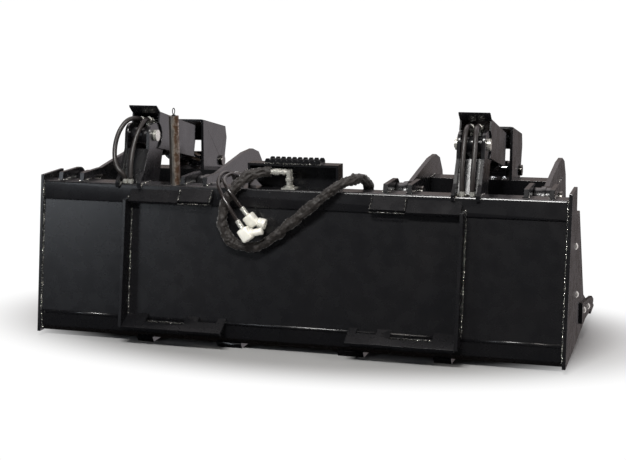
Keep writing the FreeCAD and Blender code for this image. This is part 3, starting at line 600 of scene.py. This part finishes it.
class BUCKET_OT_couplers(bpy.types.Operator):
    """Build the crimped ferrules, the block elbows and the screwed couplers on the two hoses"""
    bl_idname = "bucket.couplers"
    bl_label = "Couplers"
    bl_options = {"REGISTER", "UNDO"}

    def execute(self, context):
        for name, (route, way, profile) in LEADS.items():
            end = at(*route[-1])
            along = (end - at(*route[-2])).normalized()
            ferrule, block, tip = bmesh.new(), bmesh.new(), bmesh.new()
            lathe(ferrule, CRIMP, facing(end, along), 28)
            bmesh.ops.create_cube(block, size=1.0)
            bmesh.ops.scale(block, vec=Vector((BLOCK_WIDE, BLOCK_WIDE, BLOCK)) * MM, verts=block.verts)
            place = facing(end + along * (FERRULE + BLOCK / 2) * MM, along, Vector((1, 0, 0)))
            bmesh.ops.transform(block, matrix=place, verts=block.verts)
            bmesh.ops.bevel(block, geom=block.edges[:], offset=BLOCK_ROUND * MM, segments=3, profile=0.5,
                            affect="EDGES", material=-1)
            foot = end + along * (FERRULE + TIP_AHEAD) * MM + Vector(way).normalized() * TIP_ASIDE * MM
            lathe(tip, profile, facing(foot, way), 40)
            parts = [piece_from(ferrule, f"crimped_ferrule_{name}", "zinc", "root",
                                replaces=["hose_ferrules"]),
                     piece_from(block, f"block_elbow_{name}", "nickel", "root",
                                replaces=["coupler_elbows"]),
                     piece_from(tip, f"screw_coupler_{name}", "nickel", "root",
                                replaces=["couplers"])]
        return {"FINISHED"}


PORT_S, PORT_P = 30, 58         # an elbow's mouth, along and above the cylinder's axis
MOUTH_GAP, MOUTH_RUN = 0.3, 50  # the hose starts this far out of the mouth, and runs straight to here
LOOPS = {
    -1: ((-14, (-39, 168, 741), (-59, 140, 704), (-69, 122, 656), (-64, 104, 608), (-45, 86, 576),
          (-24, 88, 560), (-22, 97, 542)),
         (14, (9, 170, 716), (-1, 143, 674), (-5, 122, 630), (-4, 104, 585), (-2, 97, 542))),
    1: ((-14, (-17, 164, 738), (-18, 134, 692), (-18, 114, 640), (-18, 100, 590), (-17, 97, 542)),
        (14, (16, 162, 734), (18, 132, 686), (18, 112, 635), (17, 99, 588), (17, 97, 542)))}


def on_cylinder(hand, along, across, above):
    """A point beside a cylinder, in millimetres from its base pin."""
    pivot = Vector(JOINTS[f"barrel_pivot_{hand}"]["pos_m"])
    axis = Vector(JOINTS[f"rod_slide_{hand}"]["axis"])
    normal = Vector((1, 0, 0)).cross(axis)
    return pivot + (axis * along + Vector((across, 0, 0)) + normal * above) * MM


class BUCKET_OT_cylinder_hoses(bpy.types.Operator):
    """Run the hoses from the beam to the cylinders"""
    bl_idname = "bucket.cylinder_hoses"
    bl_label = "Cylinder hoses"
    bl_options = {"REGISTER", "UNDO"}

    def execute(self, context):
        for sign, hand in SIDES:
            middle = JOINTS[f"barrel_pivot_{hand}"]["pos_m"][0] / MM
            for number, (across, *rest) in enumerate(LOOPS[sign]):
                mouth = [on_cylinder(hand, PORT_S - out, across, PORT_P) for out in (MOUTH_GAP, MOUTH_RUN)]
                line = nurbs_line("hose_line", mouth + [at(middle + x, y, z) for x, y, z in rest])
                points = even_points(line_points(line), HOSE_STEP)
                bpy.data.objects.remove(line)
                bm = bmesh.new()
                tube_along(bm, points, lambda i, angle: sizes().hose / 2, 20)
                name = f"cylinder_hose_{hand}_{number + 1}"
                piece = piece_from(bm, name, "rubber", None)
                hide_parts(f"cylinder_hoses_{hand}")
                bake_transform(piece)
        return {"FINISHED"}


# ---- welds ----------------------------------------------------------------------------------------

SHEET_FOOT, SHEET_TOP = (12, 74), (76, 463)     # rear face of the back sheet, y and z
BEAM_FOOT, BEAM_LEAN, BEAM_TOP = (68, 463), 11 / 65, 528   # rear edge, y and z; lean; top face
JAW_MIDDLE, TINE_OUT, TINE_HALF = 587, 230, 8
LUG_FACES, UPRIGHT_FACES, POST_FACES = (32.5, 48.5), (34.5, 46.5), (577, 589)
TOP_LIP, BOTTOM_LIP = (278, 393), (262, 516)    # raised part of a top lip and plate under a bottom lip, in x
BOX_OUT, STEP_OUT, STEP_Z = 158.5, 97, 612.5
ON_BEAM = BEAM_TOP + 0.5
FINE_BEAD, LIP_BEAD, LUG_BEAD = 3 * MM, 3.4 * MM, 3.6 * MM


def bead_row(bm, start, end, radius):
    """Overlapping ripples of weld from one point to the other, a little uneven."""
    row = bmesh.new()
    way = end - start
    count = max(2, round(way.length / sizes().ripple))
    turn = facing(Vector(), way)
    flat = Matrix.Diagonal((1, 1, 0.62, 1))
    for n in range(count + 1):
        shake = noise.noise_vector(start * 900 + Vector((n * 0.7, 0, 0))) * radius * 0.35
        size = radius * (1 + 0.18 * noise.noise(start * 700 + Vector((0, n * 0.9, 0))))
        place = Matrix.Translation(start + way * (n / count) + shake) @ turn @ flat
        bmesh.ops.create_uvsphere(row, u_segments=8, v_segments=5, radius=size, matrix=place)
    pour(row, bm)


def welds(name, rows, radius=None, body="root"):
    bm = bmesh.new()
    for start, end in rows:
        bead_row(bm, at(*start), at(*end), radius or sizes().bead)
    return piece_from(bm, name, "weld", body)


def beam_rear(z):
    """The top beam's rear face leans forward as it rises."""
    return BEAM_FOOT[0] + (z - BEAM_FOOT[1]) * BEAM_LEAN


def both_faces(middles, faces):
    """The x of each face of plates that stand in pairs about a middle."""
    return [middle + side * face for middle in middles for face in faces for side in (-1, 1)]


class BUCKET_OT_welds(bpy.types.Operator):
    """Lay the fillet welds of the bucket, its quick-attach frame, its lugs and its brackets"""
    bl_idname = "bucket.welds"
    bl_label = "Welds"
    bl_options = {"REGISTER", "UNDO"}

    def execute(self, context):
        noise.seed_set(1)       # the shake of the beads would otherwise change from run to run
        (foot_y, foot_z), (top_y, top_z) = SHEET_FOOT, SHEET_TOP
        for sign, hand in SIDES:
            edge = sign * (INNER_X / MM - 1)
            middle = sign * JAW_MIDDLE
            welds(f"weld_end_{hand}", [
                ((edge, foot_y, foot_z), (edge, top_y, top_z)),
                ((edge, foot_y, foot_z), (edge, 16, 12)),
                ((edge, beam_rear(466), 466), (edge, beam_rear(526), 526))])
            posts = []
            for x in POST_FACES:
                posts.append(((sign * x, foot_y, foot_z + 6), (sign * x, top_y, top_z)))
                posts.append(((sign * x, beam_rear(463), 463), (sign * x, beam_rear(484), 484)))
            welds(f"weld_post_{hand}", posts)
            low, high = sorted(sign * x for x in TOP_LIP)
            welds(f"weld_top_lip_{hand}", [
                ((low, 42, 471), (high, 42, 471)),
                ((low, 41, 482), (low, 68, 516)),
                ((high, 41, 482), (high, 68, 516))], FINE_BEAD)
            low, high = sorted(sign * x for x in BOTTOM_LIP)
            welds(f"weld_bottom_lip_{hand}", [((low, 1, 64), (high, 1, 64))], LIP_BEAD)
            lugs = both_faces((middle - sign * TINE_OUT, middle + sign * TINE_OUT), LUG_FACES)
            welds(f"weld_lugs_{hand}", [((x, 98, ON_BEAM), (x, 152, ON_BEAM)) for x in lugs], LUG_BEAD)
            feet = []
            for x in (middle + side * face for side in (-1, 1) for face in UPRIGHT_FACES):
                feet.append(((x, 80, ON_BEAM), (x, 150, ON_BEAM)))
                feet.append(((x, beam_rear(516), 517), (x, beam_rear(527), BEAM_TOP)))
            feet.append(((middle - 33, 107, BEAM_TOP + 1), (middle + 33, 107, BEAM_TOP + 1)))
            welds(f"weld_bracket_{hand}", feet, LUG_BEAD)
            tines = both_faces((middle - TINE_OUT, middle + TINE_OUT), (TINE_HALF,))
            welds(f"weld_tines_{hand}", [((x, 602, 508), (x, 688, 508)) for x in tines], LUG_BEAD,
                  f"jaw_{hand}")
        welds("weld_hose_box", [((-BOX_OUT, 97, ON_BEAM), (-BOX_OUT, 152, ON_BEAM)),
                                ((BOX_OUT, 97, ON_BEAM), (BOX_OUT, 152, ON_BEAM)),
                                ((-STEP_OUT, 95.5, STEP_Z), (STEP_OUT, 95.5, STEP_Z))], FINE_BEAD)
        return {"FINISHED"}


FOLD, FOLD_AT = 8 * MM, (17.2, 72)              # radius of the fold, and its middle in y and z
FOLD_SPANS = ((-912, -590), (-576, 576), (590, 912))


class BUCKET_OT_sheet_fold(bpy.types.Operator):
    """Round the fold at the foot of the back sheet, which catches the light"""
    bl_idname = "bucket.sheet_fold"
    bl_label = "Sheet fold"
    bl_options = {"REGISTER", "UNDO"}

    def execute(self, context):
        bm = bmesh.new()
        for low, high in FOLD_SPANS:
            made = bmesh.ops.create_cone(bm, cap_ends=True, segments=24, radius1=FOLD, radius2=FOLD,
                                         depth=(high - low) * MM)
            place = facing(at((low + high) / 2, *FOLD_AT), (1, 0, 0))
            bmesh.ops.transform(bm, matrix=place, verts=made["verts"])
        piece_from(bm, "sheet_fold", "coat", "root")
        return {"FINISHED"}


HOSE_END = [(0, 0), (9.4, 0), (10.4, 1), (10.4, 5), (9.7, 6), (10.4, 7), (10.4, 12), (9.7, 13), (10.4, 14),
            (10.4, 21), (9.6, 22), (7, 22), (7, 26), (0, 26)]
SUPPLY_X, SUPPLY_Y, SUPPLY_Z = -12, (91, 109), 585
PORT_ACROSS = 14


class BUCKET_OT_fittings(bpy.types.Operator):
    """Add the hexagon nuts and crimped hose ends of the supply elbows and the cylinder ports"""
    bl_idname = "bucket.fittings"
    bl_label = "Fittings"
    bl_options = {"REGISTER", "UNDO"}

    def execute(self, context):
        supply = bmesh.new()
        for y in SUPPLY_Y:
            hex_nut(supply, facing(at(SUPPLY_X, y, 531), (0, 0, 1)), 22, 9)
            hex_nut(supply, facing(at(SUPPLY_X, y, 556), (0, 0, 1)), 20, 10)
            hex_nut(supply, facing(at(SUPPLY_X - 22, y, SUPPLY_Z), (1, 0, 0)), 18, 9)
            lathe(supply, HOSE_END, facing(at(SUPPLY_X - 54, y, SUPPLY_Z), (1, 0, 0)), 28)
        piece_from(supply, "supply_nuts", "zinc", "root", smooth=False)
        for _, hand in SIDES:
            axis = JOINTS[f"rod_slide_{hand}"]["axis"]
            ends = bmesh.new()
            for across in (-PORT_ACROSS, PORT_ACROSS):
                lathe(ends, HOSE_END, facing(on_cylinder(hand, PORT_S - 22, across, PORT_P), axis), 28)
                hex_nut(ends, facing(on_cylinder(hand, PORT_S + 1, across, PORT_P), axis), 20, 7)
            piece_from(ends, f"cylinder_hose_ends_{hand}", "zinc", f"barrel_{hand}",
                       smooth=False)
        return {"FINISHED"}


# ---- stage ----------------------------------------------------------------------------------------


def softbox(name, place, target, size, power, tint):
    light = bpy.data.lights.new(name, "AREA")
    light.shape = "RECTANGLE"
    light.size, light.size_y = size
    light.energy = power
    light.color = tint
    lamp = bpy.data.objects.new(name, light)
    lamp.location = place
    lamp.rotation_euler = (Vector(target) - Vector(place)).to_track_quat("-Z", "Y").to_euler()
    bpy.context.scene.collection.objects.link(lamp)
    return lamp


def studio_paper():
    # Paper under the object: grey near it, a painted shade that deepens its shadow, and an emission farther
    # away that glows white as painted light.
    material, tree, shader, place = start_material("studio_paper")
    shader.inputs["Base Color"].default_value = paint("floor")
    shader.inputs["Roughness"].default_value = 0.9
    shader.inputs["Specular IOR Level"].default_value = 0.0
    oval = add(tree, "ShaderNodeMapping", {"Vector": (place, "Object"), "Scale": (0.55, 1.0, 1.0)})
    away = add(tree, "ShaderNodeVectorMath", {0: (oval, "Vector")}, operation="LENGTH")
    lit = add(tree, "ShaderNodeMapRange", {"Value": (away, "Value"), "From Min": 0.48, "From Max": 0.78},
              interpolation_type="SMOOTHSTEP")
    glow = add(tree, "ShaderNodeEmission", {"Color": (1, 1, 1, 1), "Strength": 1.02})
    mixed = add(tree, "ShaderNodeMixShader", {0: (lit, "Result"), 1: (shader, "BSDF"), 2: (glow, "Emission")})
    tree.links.new(mixed.outputs["Shader"], tree.nodes["Material Output"].inputs["Surface"])
    return material


def studio_world():
    # The studio as the steel mirrors it: a grey wall ahead, brighter to the right and above, and dark
    # everywhere else. The camera itself sees plain white.
    world = bpy.data.worlds.new("studio")
    world.use_nodes = True
    tree = world.node_tree
    tree.nodes.clear()
    way = add(tree, "ShaderNodeTexCoord")
    parts = add(tree, "ShaderNodeSeparateXYZ", {"Vector": (way, "Generated")})
    ahead = add(tree, "ShaderNodeMapRange", {"Value": (parts, "Y"), "From Min": -0.1, "From Max": 0.5,
                                             "To Min": 0.012, "To Max": 0.75},
                interpolation_type="SMOOTHSTEP")
    right = add(tree, "ShaderNodeMapRange", {"Value": (parts, "X"), "From Min": 0.16, "From Max": 0.44,
                                             "To Min": 0.03, "To Max": 1.45}, interpolation_type="SMOOTHSTEP")
    high = add(tree, "ShaderNodeMapRange", {"Value": (parts, "Z"), "From Min": 0.06, "From Max": 0.3,
                                            "To Max": 0.8}, interpolation_type="SMOOTHSTEP")
    lit = add(tree, "ShaderNodeMath", {0: (right, "Result"), 1: (high, "Result")}, operation="MAXIMUM")
    bright = add(tree, "ShaderNodeMath", {0: (ahead, "Result"), 1: (lit, "Value")}, operation="MULTIPLY")
    tint = blend_colours(tree, (lit, "Value"), (0.95, 0.66, 0.45, 1), (1.0, 0.94, 1.0, 1))
    glow = add(tree, "ShaderNodeBackground", {"Color": (tint, "Result"), "Strength": (bright, "Value")})
    white = add(tree, "ShaderNodeBackground", {"Color": (1, 1, 1, 1), "Strength": 1.02})
    ray = add(tree, "ShaderNodeLightPath")
    mixed = add(tree, "ShaderNodeMixShader", {0: (ray, "Is Camera Ray"), 1: (glow, "Background"),
                                              2: (white, "Background")})
    add(tree, "ShaderNodeOutputWorld", {"Surface": (mixed, "Shader")})
    return world


class BUCKET_OT_stage(bpy.types.Operator):
    """Set up the pale floor, the soft lights and the camera"""
    bl_idname = "bucket.stage"
    bl_label = "Studio"
    bl_options = {"REGISTER", "UNDO"}

    def execute(self, context):
        bm = bmesh.new()
        bmesh.ops.create_grid(bm, x_segments=1, y_segments=1, size=30)
        mesh = bpy.data.meshes.new("studio_floor")
        bm.to_mesh(mesh)
        bm.free()
        floor = bpy.data.objects.new("studio_floor", mesh)
        floor.visible_glossy = False
        context.scene.collection.objects.link(floor)
        mesh.materials.append(studio_paper())
        context.scene.world = studio_world()
        softbox("top_softbox", (-0.4, 1.5, 4.0), (0, 0.5, 0.3), (4.5, 3.2), 75, (1.0, 0.95, 0.95))
        softbox("left_softbox", (-3.9, -5.2, 2.05), (-0.4, 0, 0.5), (1.5, 1.5), 42, (0.87, 0.93, 1.0))
        softbox("right_softbox", (3.6, -1.8, 2.6), (0.4, 0, 0.4), (0.5, 1.6), 40, (1.0, 0.94, 0.88))
        softbox("front_softbox", (0.2, -4.2, 4.4), (0, -0.2, 0.4), (2.2, 0.6), 340, (1.0, 0.99, 0.97))

        camera = bpy.data.cameras.new("camera")
        camera.sensor_width = 36.0
        camera.lens = 76.70
        camera.clip_end = 60
        eye = bpy.data.objects.new("camera", camera)
        context.scene.collection.objects.link(eye)
        yaw, pitch, roll = math.radians(16.72), math.radians(10.74), math.radians(-0.46)
        turn = (Matrix.Rotation(yaw, 4, "Z") @ Matrix.Rotation(math.radians(90) - pitch, 4, "X")
                @ Matrix.Rotation(roll, 4, "Z"))
        eye.matrix_world = Matrix.Translation((1.3306, -4.5115, 1.2439)) @ turn
        context.scene.camera = eye
        context.scene.view_settings.view_transform = "Standard"
        return {"FINISHED"}


# ---- painted steelwork and other frame parts ------------------------------------------------------

FINISHES = {
    "zinc": ("end_plate_bolts", "port_fittings", "supply_elbows", "bulkhead_fittings", "pin_nuts",
             "base_pins"),
    "pin": ("hinge_pins", "rod_pin"),
    "tube": ("stow_post",),
    "plastic": ("stow_post_plug",),
    "iron": ("rod_gland", "piston"),
    "chrome": ("piston_rod",),
    "rubber": ("cylinder_hoses", "hose_lead_a", "hose_lead_b"),
    "sleeve": ("hose_bundle",),
    "nickel": ("coupler_elbows", "couplers"),
}
PLAIN_ROUNDS = ("end_plate_bolts", "hinge_pins", "base_pins", "piston", "rod_gland", "hose_", "coupler",
                "stow", "bulkhead", "oil_lines", "cylinder_hoses", "supply", "port_", "pin_nuts")


def finish_of(node):
    base = node.removesuffix("_left").removesuffix("_right")
    for finish, names in FINISHES.items():
        if base in names:
            return finish
    return "coat"


class BUCKET_OT_steelwork(bpy.types.Operator):
    """Give every frame part its finish, and round the edges of the plates and tubes"""
    bl_idname = "bucket.steelwork"
    bl_label = "Steelwork"
    bl_options = {"REGISTER", "UNDO"}

    def execute(self, context):
        for name, node in frame["nodes"].items():
            node.data.materials.clear()
            node.data.materials.append(material(finish_of(name)))
            if name.startswith(PLAIN_ROUNDS):
                continue
            weld = node.modifiers.new("weld", "WELD")
            weld.merge_threshold = 0.02 * MM
            bevel = node.modifiers.new("edge", "BEVEL")
            bevel.limit_method = "ANGLE"
            bevel.angle_limit = math.radians(35)
            bevel.width = sizes().tube_round if name == "top_beam" else sizes().edge_round
            bevel.segments = 3 if name == "top_beam" else 2
            bevel.use_clamp_overlap = True
            bevel.harden_normals = False
        return {"FINISHED"}


class BUCKET_PT_panel(bpy.types.Panel):
    """Builds the bucket's looks piece by piece"""
    bl_idname = "BUCKET_PT_panel"
    bl_label = "Grapple bucket"
    bl_space_type = "VIEW_3D"
    bl_region_type = "UI"
    bl_category = "Grapple bucket"

    def draw(self, context):
        for step in STEPS:
            self.layout.operator(step.bl_idname)
        for group in (context.scene.bucket_sizes, context.scene.bucket_paint):
            for prop in group.__annotations__:
                self.layout.prop(group, prop)


STEPS = (BUCKET_OT_stage, BUCKET_OT_sleeve, BUCKET_OT_coupler_hoses, BUCKET_OT_couplers,
         BUCKET_OT_cylinder_hoses, BUCKET_OT_welds, BUCKET_OT_sheet_fold, BUCKET_OT_fittings,
         BUCKET_OT_steelwork)
CLASSES = (BucketPaint, BucketSizes, *STEPS, BUCKET_PT_panel)


def register():
    for cls in CLASSES:
        bpy.utils.register_class(cls)
    bpy.types.Scene.bucket_paint = PointerProperty(type=BucketPaint)
    bpy.types.Scene.bucket_sizes = PointerProperty(type=BucketSizes)


def unregister():
    del bpy.types.Scene.bucket_paint
    del bpy.types.Scene.bucket_sizes
    for cls in reversed(CLASSES):
        bpy.utils.unregister_class(cls)


def main():
    register()
    for step in STEPS:
        family, name = step.bl_idname.split(".")
        getattr(getattr(bpy.ops, family), name)()


if __name__ == "__main__":
    main()
